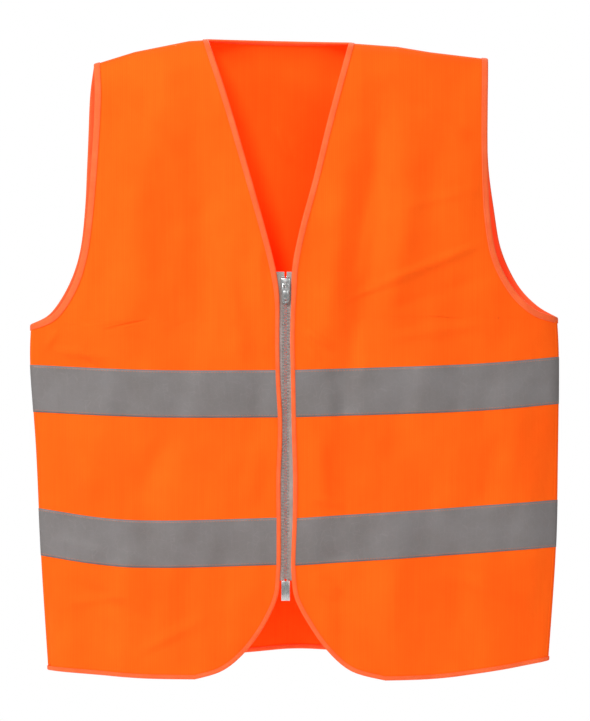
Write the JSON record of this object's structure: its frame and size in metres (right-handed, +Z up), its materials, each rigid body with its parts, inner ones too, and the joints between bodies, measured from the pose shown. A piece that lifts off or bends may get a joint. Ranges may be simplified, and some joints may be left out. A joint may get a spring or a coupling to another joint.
{
  "type": "high visibility vest",
  "caption": "Sleeveless V-neck vest in bright fabric with horizontal reflective tapes, bound edges and a full-length separating zip.",
  "frame": {"origin": "middle of the shoulder line on the wearer's centre plane, where a hanger or the wearer's shoulders carry the vest", "axes": "+Z up, -Y out of the front, +X to the wearer's left"},
  "size_m": [0.5634, 0.0744, 0.6815],
  "materials": {
    "orange_fabric": "matte fluorescent orange warp-knit polyester",
    "binding": "matte coral polyester binding tape",
    "reflective": "silver-grey glass-bead retroreflective tape",
    "zip_tape": "light grey woven polyester",
    "zip_metal": "bright cast and stamped metal"
  },
  "bodies": {
    "back": {"back_panel": "orange_fabric", "right_front_side": "orange_fabric", "left_front_side": "orange_fabric", "back_tape_upper": "reflective", "back_tape_lower": "reflective", "right_side_tape_upper": "reflective", "right_side_tape_lower": "reflective", "left_side_tape_upper": "reflective", "left_side_tape_lower": "reflective", "neck_binding": "binding", "hem_binding": "binding", "right_armhole_binding": "binding", "left_armhole_binding": "binding"},
    "right_front": {"right_front_flap": "orange_fabric", "right_flap_tape_upper": "reflective", "right_flap_tape_lower": "reflective", "right_front_binding": "binding", "right_zip_tape": "zip_tape", "right_zip_teeth": "zip_metal", "right_top_stop": "zip_metal", "retainer_pin": "zip_metal", "retainer_box": "zip_metal"},
    "left_front": {"left_front_flap": "orange_fabric", "left_flap_tape_upper": "reflective", "left_flap_tape_lower": "reflective", "left_front_binding": "binding", "left_zip_tape": "zip_tape", "left_zip_teeth": "zip_metal", "left_top_stop": "zip_metal", "insertion_pin": "zip_metal"},
    "zip_slider": {"slider_body": "zip_metal"},
    "zip_pull": {"pull_tab": "zip_metal"}
  },
  "joints": [
    {"name": "right_front_fold", "type": "hinge", "parent": "back", "child": "right_front", "pos_m": [-0.14817, -0.0329, -0.34187], "axis": [-0.2456, 0.0206, -0.9692], "range_deg": [0, 150]},
    {"name": "left_front_fold", "type": "hinge", "parent": "back", "child": "left_front", "pos_m": [0.1357, -0.0329, -0.34046], "axis": [-0.307, -0.0206, 0.9515], "range_deg": [0, 150]},
    {"name": "zip_slide", "type": "slide", "parent": "right_front", "child": "zip_slider", "axis": [0, 0, -1], "range_m": [0, 0.3065], "deforming": ["right_zip_teeth", "left_zip_teeth"]},
    {"name": "pull_tab_hinge", "type": "hinge", "parent": "zip_slider", "child": "zip_pull", "pos_m": [-0.0095, -0.037, -0.2605], "axis": [-1, 0, 0], "range_deg": [0, 165]}
  ]
}
